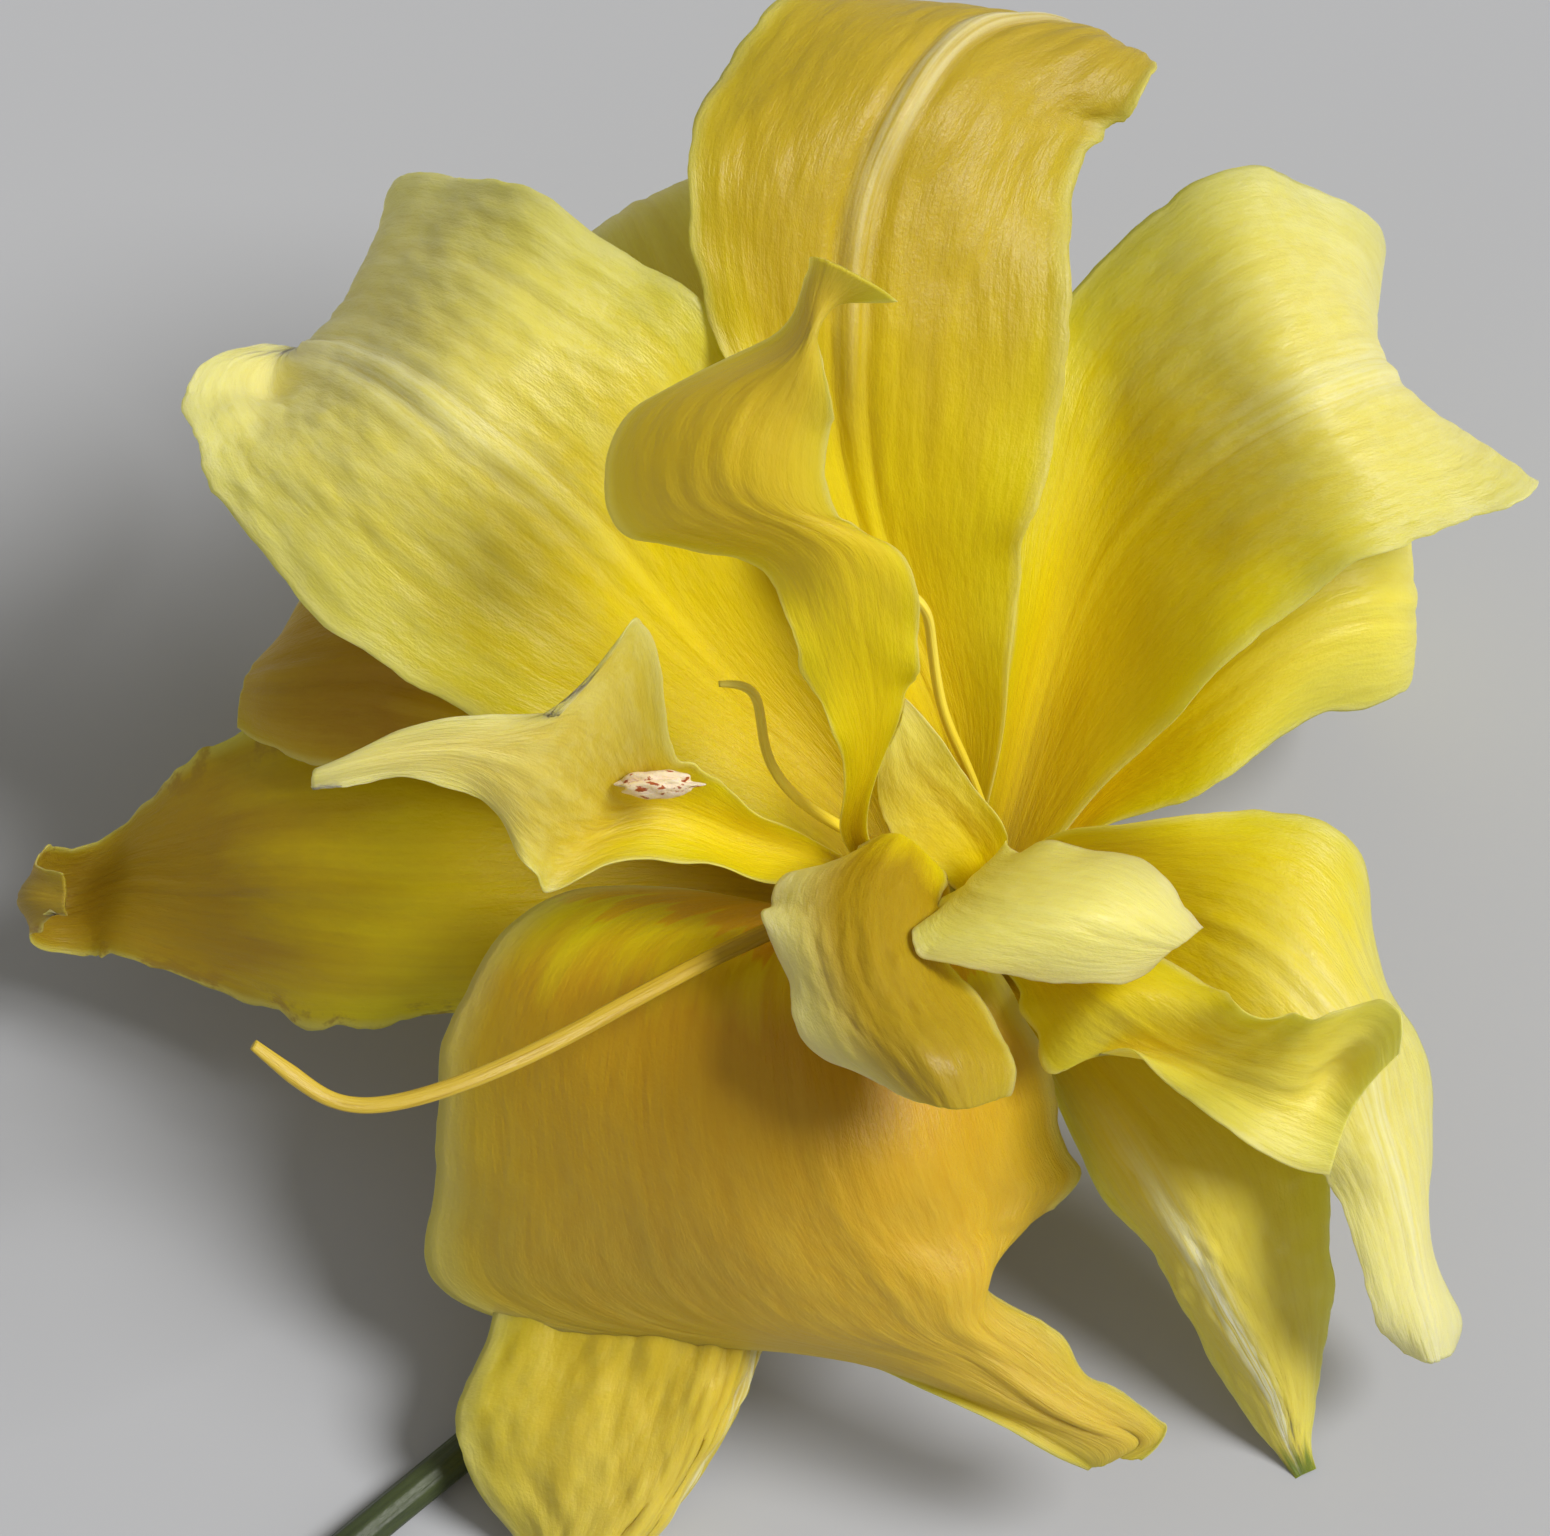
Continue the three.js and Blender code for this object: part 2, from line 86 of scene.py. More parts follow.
SEPALS = {
  "left_sepal": {
    "azimuth": 180,
    "rows": [
      [[17, 2, -11], [17, -5, -13], [17, -10, -8]],
      [[29, 7, -13], [29, -4, -11], [31, -14, -7]],
      [[41, 7, -15], [42, -2, -9], [45, -21, -4]],
      [[52, 6, -18], [52, -3, -10], [55, -21, -6]],
      [[60, 4, -20], [61, -5, -12], [63, -19, -9]],
      [[68, 0, -21], [68, -7, -16], [69, -17, -12]],
      [[75, -3, -22], [74, -9, -19], [74, -15, -16]],
      [[78, -4, -23], [78, -10, -23], [78, -13, -19]],
      [[82, -4, -21], [82, -9, -23], [81, -12, -17]],
      [[82, -3, -16], [83, -6, -16], [82, -9, -14]],
      [[79, -3, -13], [79, -4, -13], [79, -6, -11]],
    ],
  },
  "second_left_sepal": {
    "azimuth": 160,
    "rows": [
      [[15, 1, -6], [16, -3, -7], [16, -6, -4]],
      [[30, 3, -2], [30, -3, -1], [30, -7, 3]],
      [[44, 6, 0], [44, -1, 4], [44, -11, 7]],
      [[54, 8, -1], [54, 0, 4], [53, -10, 5]],
      [[60, 8, -2], [61, 2, 2], [61, -8, 2]],
      [[65, 6, -4], [66, 2, -2], [65, -4, -3]],
    ],
  },
  "back_left_sepal": {
    "azimuth": 115,
    "rows": [
      [[21, 3, -1], [21, -2, -2], [18, -6, -1]],
      [[34, 7, 7], [35, -2, 9], [35, -10, 12]],
      [[48, 9, 14], [48, 0, 16], [49, -9, 19]],
      [[60, 6, 15], [60, 0, 17], [61, -8, 19]],
      [[69, 5, 9], [69, -1, 11], [69, -8, 12]],
      [[73, 8, -4], [74, 0, -4], [73, -8, -4]],
      [[72, 7, -19], [73, 1, -20], [72, -5, -20]],
      [[66, 8, -34], [66, 6, -36.5], [66, 4, -35.5]],
    ],
  },
  "right_sepal": {
    "azimuth": 15,
    "rows": [
      [[13, 8, -5], [15, 8, -9], [15, 4, -7]],
      [[26, 18, 5], [26, 11, 0], [23, 3, -3]],
      [[38, 23, 9], [37, 13, 6], [33, 6, -1]],
      [[46, 26, 7], [45, 14, 4], [41, 8, -3]],
      [[51, 29, 0], [49, 18, -4], [47, 12, -8]],
      [[53, 35, -11], [52, 26, -15], [49, 18, -19]],
      [[52, 38, -24], [52, 32, -27], [49, 26, -29]],
      [[50, 36, -34.5], [49, 34, -36.5], [48, 32, -36]],
    ],
  },
  "front_right_sepal": {
    "azimuth": -60,
    "rows": [
      [[8, 8, -8], [9, 3, -9], [8, -2, -10]],
      [[21, 12, -8], [17, 3, -8], [12, 0, -9]],
      [[31, 18, -11], [27, 4, -9], [20, 0, -13]],
      [[37, 17, -17], [35, 5, -14], [30, 1, -18]],
      [[42, 15, -24], [40, 6, -21], [36, 2, -24]],
      [[47, 12, -31], [46, 7, -28], [43, 4, -31]],
      [[50, 9, -35], [49, 7, -33.5], [48, 5, -35]],
      [[52, 8, -36.5], [52, 7, -36.5], [52, 6, -36.5]],
    ],
  },
  "front_left_sepal": {
    "azimuth": -125,
    "rows": [
      [[8, 2, -12], [11, -4, -13], [10, -9, -12]],
      [[18, 1, -16], [22, -3, -14], [25, -13, -15]],
      [[29, 3, -21], [34, 0, -16], [39, -16, -17]],
      [[37, 6, -26], [40, 3, -20], [51, -14, -23]],
      [[42, 7, -29], [47, 5, -25], [58, -12, -28]],
      [[48, 6, -33], [53, 6, -29], [61, -7, -32]],
      [[55, 6, -36], [60, 5, -33], [63, -1, -35]],
      [[64, 6, -36.5], [65, 5, -36.5], [65, 4, -36.5]],
    ],
  },
}

PETALS = {
  "top_petal": {
    "azimuth": 95,
    "rows": [
      [[12, 3, 7], [12, -1, 2], [12, -6, 5]],
      [[22, 11, 21], [23, 4, 15], [21, -8, 17]],
      [[34, 17, 33], [33, 6, 29], [30, -12, 27]],
      [[46, 19, 41], [43, 4, 39], [43, -14, 34]],
      [[57, 15, 42], [52, -1, 43], [52, -17, 34]],
      [[66, 7, 39], [61, -8, 40], [53, -20, 36]],
      [[69, 1, 30], [65, -16, 34], [59, -23, 35]],
      [[70, -9, 23], [67, -18, 26], [65, -23, 29]],
    ],
  },
  "upper_right_petal": {
    "azimuth": 35,
    "rows": [
      [[12, 9, 5], [16, 8, 0], [16, -1, 0]],
      [[20, 18, 15], [26, 13, 10], [25, -3, 11]],
      [[32, 30, 22], [34, 12, 20], [34, -4, 19]],
      [[43, 31, 28], [40, 9, 27], [43, -6, 22]],
      [[51, 29, 31], [47, 8, 27], [50, -7, 21]],
      [[58, 24, 27], [55, 10, 19], [57, -7, 19]],
      [[62, 21, 17], [57, 13, 9], [59, 1, 11]],
      [[60, 21, 4], [59, 16, 0], [59, 11, 2]],
    ],
  },
  "upper_left_petal": {
    "azimuth": 150,
    "rows": [
      [[13, 4, -1], [13, -3, -2], [11, -7, 2]],
      [[24, 9, 6], [26, -3, 9], [23, -14, 13]],
      [[39, 15, 15], [36, -2, 22], [34, -20, 30]],
      [[52, 16, 21], [45, -1, 30], [43, -21, 36]],
      [[64, 13, 25], [54, -2, 32], [55, -22, 36]],
      [[71, 8, 27], [65, -6, 25], [68, -25, 27]],
      [[74, 1, 26], [71, -9, 17], [71, -24, 19]],
      [[73, -10, 14], [72, -16, 10], [72, -23, 11]],
    ],
  },
  "lower_right_petal": {
    "azimuth": -25,
    "rows": [
      [[7, 5, 3], [9, 2, -1], [9, -3, -4]],
      [[18, 8, 10], [19, 2, 5], [18, -7, 1]],
      [[29, 13, 9], [29, 0, 9], [26, -10, 3]],
      [[38, 9, -1], [38, -3, 6], [33, -13, 3]],
      [[44, 5, -9], [43, -6, -1], [39, -13, -1]],
      [[48, -2, -16], [47, -9, -8], [43, -13, -7]],
      [[52, -8, -23], [51, -13, -16], [48, -17, -14]],
      [[55, -12, -26], [54, -15, -23], [52, -17, -21]],
    ],
  },
  "bottom_petal": {
    "azimuth": -95,
    "rows": [
      [[7, 3, -1], [5, -8, -2], [2, -20, -4]],
      [[12, 6, 2], [15, -12, 7], [6, -34, 0]],
      [[16, 9, -3], [23, -11, 7], [14, -41, -1]],
      [[19, 11, -8], [30, -9, 3], [20, -43, -6]],
      [[23, 12, -14], [34, -6, -3], [28, -43, -13]],
      [[27, 9, -15], [37, -2, -8], [33, -43, -22]],
      [[33, 6, -14], [39, 1, -12], [37, -31, -22]],
      [[36, 11, -16], [40, 6, -15], [39, -12, -21]],
      [[39, 16, -18], [42, 13, -19], [41, 2, -20]],
      [[41, 21, -21], [43, 19, -22], [44, 11, -22]],
      [[43, 20, -24], [44, 18, -24], [45, 16, -25]],
    ],
  },
}

PETALOIDS = {
  "left_petaloid": {
    "azimuth": 180,
    "rows": [
      [[9, 4, 4], [10, 2, 4], [11, 1, 6]],
      [[18, 8, 13], [18, 3, 11], [18, 2, 16]],
      [[25, 8, 17], [25, 3, 16], [22, 2, 22]],
      [[32, 12, 19], [30, 5, 18], [24, 2, 25]],
      [[36, 12, 22], [34, 7, 27], [26, -3, 37]],
      [[40, 9, 28], [39, 7, 32], [32, 3, 34]],
      [[46, 9, 32], [46, 8, 34], [41, 5, 35]],
      [[53, 11, 33], [53, 10, 34], [52, 9, 34]],
    ],
  },
  "upper_petaloid": {
    "azimuth": 120,
    "rows": [
      [[3, 9, 8], [3, 8, 8], [2, 7, 8]],
      [[3, 9, 20], [3, 7, 19], [3, 5, 21]],
      [[6, 10, 28], [5, 6, 28], [4, 2, 28]],
      [[10, 11, 36], [8, 6, 37], [5, 1, 34]],
      [[16, 13, 40], [11, 7, 44], [9, 1, 41]],
      [[20, 19, 41], [15, 12, 48], [12, 5, 45]],
      [[25, 19, 44], [18, 12, 52], [15, 4, 50]],
      [[28, 14, 49], [20, 8, 55], [17, 3, 54]],
      [[24, 5, 54], [20, 4, 58], [20, 2, 58]],
      [[24, 2, 59], [22, 1, 60], [22, -1, 59]],
      [[26, 0, 61], [23, -1, 63], [19, -5, 61]],
    ],
  },
  "lower_petaloid": {
    "azimuth": -100,
    "rows": [
      [[3, 0, 5], [3, -4, 7], [3, -7, 6]],
      [[7, 0, 10], [6, -4, 14], [7, -8, 12]],
      [[11, 1, 13], [12, -5, 18], [12, -13, 15]],
      [[16, 2, 15], [20, -4, 21], [17, -13, 17]],
      [[21, 6, 16], [26, -1, 22], [23, -11, 18]],
      [[25, 9, 17], [30, 2, 23], [28, -8, 18]],
      [[29, 9, 16], [33, 5, 20], [31, -2, 18]],
    ],
  },
  "right_petaloid": {
    "azimuth": -20,
    "rows": [
      [[5, 1, 3], [4, -1, 3], [3, -4, 4]],
      [[6, -2, 11], [4, -8, 14], [2, -15, 17]],
      [[10, -3, 16], [8, -12, 20], [4, -19, 20]],
      [[15, -3, 18], [14, -12, 22], [10, -18, 19]],
      [[21, -5, 18], [19, -11, 20], [16, -16, 17]],
      [[24, -6, 15], [23, -9, 16], [21, -11, 15]],
    ],
  },
  "ruffled_petaloid": {
    "azimuth": -45,
    "rows": [
      [[14, 1, 5], [14, -2, 4], [13, -5, 2]],
      [[24, 3, 11], [22, -4, 10], [19, -8, 3]],
      [[33, 3, 13], [28, -1, 6], [23, -6, 4]],
      [[38, 6, 16], [36, 0, 10], [32, -5, 8]],
      [[42, 9, 18], [40, 3, 10], [40, -4, 7]],
      [[44, 8, 15], [43, 4, 9], [45, -1, 6]],
    ],
  },
  "inner_petaloid": {
    "azimuth": 45,
    "rows": [
      [[4, -3, 4], [2, -2, 1], [-2, -2, 2]],
      [[3, 0, 10], [1, 1, 7], [-4, 2, 6]],
      [[2, 3, 16], [-1, 4, 13], [-4, 5, 11]],
      [[1, 7, 20], [-1, 6, 18], [-3, 6, 16]],
    ],
  },
}

OUTER_RING = 7.5  # radii of the rings that sepals, petals and petaloids stand on
INNER_RING = 5.0
PETALOID_RING = 2.6
FOOT_SPREAD = 0.5  # half the angle that one foot takes up on its ring, in radians

# ---- sizes of the surface's details, in millimetres ----------------------------------------------

RIDGE_WIDTH = 0.75  # of a midrib's crest
RIDGE_FLANK = 1.9  # from that crest to the grooves beside it
FLANK_WIDTH = 0.8  # of those grooves
RIB_SPACING = 2.9  # from one fine rib to the next
SWAY_WIDTH = 11  # of the blade's gentle waves, across it and then along it
SWAY_LENGTH = 13
RUFFLE_PATCH = 5  # how far along a margin its ruffles keep their height
NIBBLE_LENGTH = 3.6  # of the small notches along a margin
MARGIN_THINNING = 0.78  # share of its thickness that a tepal loses from midrib to margin

# ---- fineness of the meshes ----------------------------------------------------------------------

TEPAL_ROWS = 150  # points along a tepal
TEPAL_COLUMNS = 84  # points across it
TUBE_RINGS = 90
TUBE_SIDES = 96
ANTHER_RINGS = 48
ANTHER_SIDES = 64

# ---- numbers to surfaces -------------------------------------------------------------------------


def spline(points, t):
    """Natural cubic through evenly spaced points, along their first axis, at every t from 0 to 1."""
    points = np.asarray(points, float)
    count = len(points)
    flat = points.reshape(count, -1)
    system = np.eye(count)
    turn = np.zeros_like(flat)
    for i in range(1, count - 1):
        system[i, i - 1:i + 2] = (1, 4, 1)
        turn[i] = 6 * (flat[i - 1] - 2 * flat[i] + flat[i + 1])
    bend = np.linalg.solve(system, turn)
    x = np.asarray(t, float) * (count - 1)
    k = np.clip(x.astype(int), 0, count - 2)
    b = (x - k)[:, None]
    a = 1 - b
    smooth = a * flat[k] + b * flat[k + 1] + ((a**3 - a) * bend[k] + (b**3 - b) * bend[k + 1]) / 6
    return smooth.reshape((len(x),) + points.shape[1:])


def ease(x, low, high):
    """0 below low, 1 above high, smooth between; low may be the larger."""
    t = np.clip((x - low) / (high - low), 0, 1)
    return t * t * (3 - 2 * t)


def bell(x, middle, width):
    return np.exp(-((x - middle) / width) ** 2)


LATTICE = 64  # points along each side of the noise's lattice, which then repeats
LAYER_SHIFT = 7.3  # how far each finer layer of noise is moved, so that no two line up


def value_noise(x, y, seed):
    """Smooth noise from -1 to 1 on a unit lattice, the same for the same seed."""
    lattice = np.random.RandomState(seed).uniform(-1, 1, (LATTICE, LATTICE))
    column = np.floor(x).astype(int)
    row = np.floor(y).astype(int)
    fx = ease(x - column, 0, 1)
    fy = ease(y - row, 0, 1)

    def corner(i, j):
        return lattice[(column + i) % LATTICE, (row + j) % LATTICE]

    near = corner(0, 0) * (1 - fx) + corner(1, 0) * fx
    far = corner(0, 1) * (1 - fx) + corner(1, 1) * fx
    return near * (1 - fy) + far * fy


def layered_noise(x, y, seed, octaves=3):
    """Value noise with finer and fainter layers added to it."""
    total = 0
    for octave in range(octaves):
        finer = 2**octave
        layer = value_noise(x * finer + LAYER_SHIFT * octave, y * finer, seed + octave)
        total = total + layer / finer
    return total


def unit(vectors):
    length = np.linalg.norm(vectors, axis=-1, keepdims=True)
    return vectors / np.maximum(length, 1e-9)


def place(local, azimuth):
    """Turns a tepal's own [reach, side, height] rows into millimetres about the throat."""
    angle = math.radians(azimuth)
    reach, side, height = np.moveaxis(np.asarray(local, float), -1, 0)
    return np.stack([
        reach * math.cos(angle) - side * math.sin(angle),
        reach * math.sin(angle) + side * math.cos(angle),
        height,
    ], -1)


def foot_row(ring):
    """A tepal's first row, where it stands on its ring."""
    turns = [FOOT_SPREAD * side for side in (1, 0, -1)]
    return [[ring * math.cos(turn), ring * math.sin(turn), FOOT_HEIGHT] for turn in turns]


def middle_surface(tepal, ring, u, v):
    """The tepal's middle surface over the grid u (foot to tip) by v (left margin to right margin)."""
    rows = place([foot_row(ring)] + tepal["rows"], tepal["azimuth"])
    lengthwise = spline(rows, u)
    across = spline(np.moveaxis(lengthwise, 1, 0), v)
    return np.moveaxis(across, 0, 1)


def upper_normals(grid):
    along = np.gradient(grid, axis=0)
    over = np.gradient(grid, axis=1)
    return unit(np.cross(over, along))


def running_length(line):
    """How far along a line each of its points lies."""
    steps = np.linalg.norm(np.diff(line, axis=0), axis=-1)
    return np.concatenate([[0], np.cumsum(steps)])


# ---- meshes --------------------------------------------------------------------------------------


def add_piece(name, node, material, vertices, faces, fields):
    """Makes a mesh from millimetres about the throat, riding on the flower in place of a CAD node."""
    mesh = bpy.data.meshes.new(name)
    placed = np.asarray(vertices, float) * MM + np.array(THROAT)
    mesh.from_pydata(placed.tolist(), [], faces)
    for field, values in fields.items():
        attribute = mesh.attributes.new(name=field, type="FLOAT_VECTOR", domain="POINT")
        attribute.data.foreach_set("vector", np.asarray(values, np.float32).ravel())
    mesh.polygons.foreach_set("use_smooth", [True] * len(mesh.polygons))
    mesh.materials.append(material)
    mesh.update()
    piece = bpy.data.objects.new(name, mesh)
    bpy.context.scene.collection.objects.link(piece)
    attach(piece, "root")
    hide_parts(node)


def sheet_faces(rows, columns):
    """Faces of a closed sheet whose vertices are an upper grid and then a lower one."""
    lower = rows * columns
    faces = []
    for i in range(rows - 1):
        for j in range(columns - 1):
            a = i * columns + j
            faces.append((a, a + 1, a + columns + 1, a + columns))
            faces.append((lower + a, lower + a + columns, lower + a + columns + 1, lower + a + 1))
        left = i * columns
        right = left + columns - 1
        faces.append((left, left + columns, lower + left + columns, lower + left))
        faces.append((right, lower + right, lower + right + columns, right + columns))
    end = (rows - 1) * columns
    for j in range(columns - 1):
        faces.append((j, lower + j, lower + j + 1, j + 1))
        faces.append((end + j, end + j + 1, lower + end + j + 1, lower + end + j))
    return faces


def relief(look, u, edge, across, along, breadth):
    """How far the sheet swells up or down, in millimetres, at every grid point.

    Breadth is the sheet's width there as a share of its greatest: fine relief fades where it narrows.
    """
    seed = look["seed"]
    side = np.sign(across)
    ruffle = np.sin(TAU * along / look["wave"] + 1.3 * side + seed)
    ruffle = ruffle + 0.7 * value_noise(along / RUFFLE_PATCH, side * 3 + 9, seed + 20)
    swell = look["ruffle"] * ruffle * edge**3
    sway = layered_noise(across / SWAY_WIDTH + 5, along / SWAY_LENGTH, seed + 30, 2)
    swell = swell + look["sway"] * sway

    cell_width, cell_length = look["crinkle_cell"]
    crinkle = layered_noise(across / cell_width + 31, along / cell_length, seed + 40, 2)
    fine = look["crinkle"] * crinkle * ease(u, 0.2, 0.6)
    rib_place = across / RIB_SPACING + 0.3 * value_noise(across / 7 + 3, along / 22, seed + 50)
    rib_strength = 0.6 + 0.5 * value_noise(across / 3.1 + 11, along / 25, seed + 55)
    ribs = look["rib"] * rib_strength * np.cos(TAU * rib_place)
    fine = fine + ribs * (1 - 0.6 * edge) * ease(u, 0.1, 0.6)
    flank = bell(np.abs(across), RIDGE_FLANK, FLANK_WIDTH)
    fine = fine + look["midrib"] * (bell(across, 0, RIDGE_WIDTH) - 0.7 * flank)
    return (swell + fine * breadth) * ease(u, 0.05, 0.35)


def folded(swell, look, u, v):
    """The swell with the tepal's own folds added to it."""
    for place_u, place_v, spread_u, spread_v, amount in look.get("folds", ()):
        swell = swell + amount * bell(u, place_u, spread_u) * bell(v, place_v, spread_v)
    return swell


def widening(look, u, edge, side, along):
    """How far the sheet is stretched outwards, in millimetres, for its notches and lobes."""
    nibble = layered_noise(along / NIBBLE_LENGTH, side * 5 + 17, look["seed"] + 60)
    outward = look["jag"] * nibble * edge**8 * ease(u, 0.1, 0.3)
    for lobe_side, place_u, spread, amount in look.get("lobes", ()):
        outward = outward + amount * bell(u, place_u, spread) * edge**2 * (side == lobe_side)
    return outward


def thickened(grid, look, u, edge):
    """Upper and then lower vertices of a sheet that thins towards its margins and its tip."""
    tip = ease(u, 1.0, 0.9)
    thickness = look["thickness"] * (1 - MARGIN_THINNING * edge**2) * (0.5 + 0.5 * tip)
    offset = upper_normals(grid) * (thickness / 2)[..., None]
    return np.concatenate([(grid + offset).reshape(-1, 3), (grid - offset).reshape(-1, 3)])


def build_tepal(name, tepal, ring, look, material):
    """One tepal: its middle surface, then its margins and relief, then its thickness."""
    u = np.linspace(0, 1, TEPAL_ROWS)
    v = np.linspace(0, 1, TEPAL_COLUMNS)
    grid = middle_surface(tepal, ring, u, v)
    u_grid, v_grid = np.meshgrid(u, v, indexing="ij")
    edge = np.abs(2 * v_grid - 1)
    side = np.sign(v_grid - 0.5)
    over = unit(np.gradient(grid, axis=1))
    width = np.linalg.norm(np.diff(grid, axis=1), axis=-1).sum(1)
    across = (v_grid - 0.5) * width.max()
    along_midrib = running_length(grid[:, TEPAL_COLUMNS // 2])
    along = np.broadcast_to(along_midrib[:, None], across.shape)

    outward = widening(look, u_grid, edge, side, along)
    grid = grid + over * (outward * side)[..., None]
    breadth = (width / width.max())[:, None]
    swell = relief(look, u_grid, edge, across, along, breadth)
    swell = folded(swell, look, u_grid, v_grid)
    grid = grid + upper_normals(grid) * swell[..., None]

    nothing = np.zeros_like(across)
    petal = np.stack([across, along, nothing], -1).reshape(-1, 3)
    zone = np.stack([u_grid, edge, nothing], -1).reshape(-1, 3)
    fields = {"petal": np.tile(petal, (2, 1)), "zone": np.tile(zone, (2, 1))}
    vertices = thickened(grid, look, u_grid, edge)
    faces = sheet_faces(TEPAL_ROWS, TEPAL_COLUMNS)
    add_piece(name + ".blade", name, material, vertices, faces, fields)


def ring_faces(rings, sides, flipped=False):
    """Faces from each ring of vertices to the next; flipped turns them to look the other way."""
    faces = []
    for near in range(0, (rings - 1) * sides, sides):
        far = near + sides
        for j in range(sides):
            k = (j + 1) % sides
            if flipped:
                faces.append((near + j, far + j, far + k, near + k))
            else:
                faces.append((near + j, near + k, far + k, far + j))
    return faces


def closed_ring_faces(rings, sides, flipped=False):
    """Ring faces, and fans to the two vertices after them, which close the start and the end."""
    faces = ring_faces(rings, sides, flipped)
    start = rings * sides
    end = start + 1
    last = start - sides
    for j in range(sides):
        k = (j + 1) % sides
        if flipped:
            faces.append((start, j, k))
            faces.append((end, last + k, last + j))
        else:
            faces.append((start, k, j))
            faces.append((end, last + j, last + k))
    return faces


def sweep(route, radii, sides=20, flat=1.0, ridges=0, ridge_depth=0.0, steps=120):
    """A closed thread along a route: its vertices, its faces and a field.

    The field holds the turn about the thread, the millimetres along it, and 1 at its two ends.
    """
    t = np.linspace(0, 1, steps)
    line = spline(route, t)
    length = running_length(line)
    tangent = unit(np.gradient(line, axis=0))
    radius = np.interp(t, np.linspace(0, 1, len(radii)), radii)
    normal = unit(np.cross(tangent[0], (0.31, 0.17, 0.94)))
    turn = np.arange(sides) / sides * TAU
    bulge = 1 + ridge_depth * np.cos(ridges * turn)
    rings = []
    for i in range(steps):
        normal = unit(normal - tangent[i] * np.dot(normal, tangent[i]))
        binormal = np.cross(tangent[i], normal)
        ring = np.cos(turn)[:, None] * normal + flat * np.sin(turn)[:, None] * binormal
        rings.append(line[i] + ring * (radius[i] * bulge)[:, None])
    vertices = np.concatenate(rings + [line[:1], line[-1:]])
    field = np.stack([np.tile(turn, steps), np.repeat(length, sides), np.zeros(steps * sides)], -1)
    ends = [[0, 0, 1], [0, length[-1], 1]]
    return vertices, closed_ring_faces(steps, sides), np.concatenate([field, ends])


def reach_zone(reach):
    """The zone field of a piece that is coloured by its share of the way along only."""
    nothing = np.zeros_like(reach)
    return np.stack([reach, nothing, nothing], -1)


# ---- materials -----------------------------------------------------------------------------------


def srgb(red, green, blue):
    """A colour given as 0 to 255 on screen, as Blender's linear colour."""
    def linear(value):
        share = value / 255
        return share / 12.92 if share <= 0.04045 else ((share + 0.055) / 1.055) ** 2.4
    return (linear(red), linear(green), linear(blue), 1.0)


class Shader:
    """A material under construction: short ways to add and join its nodes."""

    def __init__(self, name):
        self.material = bpy.data.materials.new(name)
        self.material.use_nodes = True
        self.tree = self.material.node_tree
        self.tree.nodes.clear()

    def node(self, kind, inputs=None, **settings):
        node = self.tree.nodes.new("ShaderNode" + kind)
        for setting, value in settings.items():
            setattr(node, setting, value)
        for key, value in (inputs or {}).items():
            if isinstance(value, bpy.types.NodeSocket):
                self.tree.links.new(value, node.inputs[key])
            else:
                node.inputs[key].default_value = value
        return node

    def field(self, name):
        return self.node("Attribute", attribute_name=name).outputs["Vector"]

    def split(self, vector):
        return self.node("SeparateXYZ", {0: vector}).outputs

    def math(self, operation, a, b=0.0, c=0.0):
        return self.node("Math", {0: a, 1: b, 2: c}, operation=operation).outputs[0]

    def fade(self, value, low, high):
        """0 where the value is low, 1 where it is high, smooth between."""
        inputs = {"Value": value, "From Min": low, "From Max": high}
        return self.node("MapRange", inputs, interpolation_type="SMOOTHSTEP").outputs["Result"]

    def stretched(self, vector, scale):
        return self.node("VectorMath", {0: vector, 1: scale}, operation="MULTIPLY").outputs[0]

    def noise(self, vector, scale, detail=3.0, roughness=0.55):
        """Noise on a vector that is first scaled apart along each axis."""
        place = self.stretched(vector, scale)
        inputs = {"Vector": place, "Scale": 1.0, "Detail": detail, "Roughness": roughness}
        return self.node("TexNoise", inputs).outputs["Fac"]

    def mix(self, share, a, b, blend="MIX"):
        node = self.node("Mix", {0: share, 6: a, 7: b}, data_type="RGBA", blend_type=blend)
        return node.outputs[2]

    def ramp(self, value, stops):
        node = self.node("ValToRGB", {0: value})
        elements = node.color_ramp.elements
        while len(elements) < len(stops):
            elements.new(0.5)
        for element, (position, colour) in zip(elements, stops):
            element.position = position
            element.color = colour
        return node.outputs["Color"]

    def bump(self, height, strength, distance):
        inputs = {"Height": height, "Strength": strength, "Distance": distance * MM}
        return self.node("Bump", inputs).outputs["Normal"]

    def finish(self, **inputs):
        """Ends the material with a surface whose inputs are named with _ in place of spaces."""
        settings = {key.replace("_", " "): value for key, value in inputs.items()}
        shader = self.node("BsdfPrincipled", settings)
        output = self.node("OutputMaterial", {"Surface": shader.outputs[0]})
        output.is_active_output = True
        return self.material


THROAT_GOLD = srgb(226, 198, 0)
DEEP_YELLOW = srgb(230, 206, 0)
# Painted shade deep in the throat, at each tepal's foot.
THROAT_SHADE_GOLD = srgb(184, 154, 0)
VEIN_TINT = srgb(214, 190, 60)
MARGIN_CREAM = srgb(242, 233, 148)
MIDRIB_WHITE = srgb(248, 245, 212)
TIP_GREEN = srgb(96, 122, 44)
AGED_BROWN = srgb(150, 112, 40)
ANTHER_CREAM = srgb(246, 226, 196)
ANTHER_RUST = srgb(176, 84, 30)
FLESH_GLOW = (1.0, 0.97, 0.15)  # how far red, green and blue light travel inside a tepal
PETAL_GLOW_DEPTH = 1.6 * MM
STEM_GLOW_DEPTH = 1.0 * MM

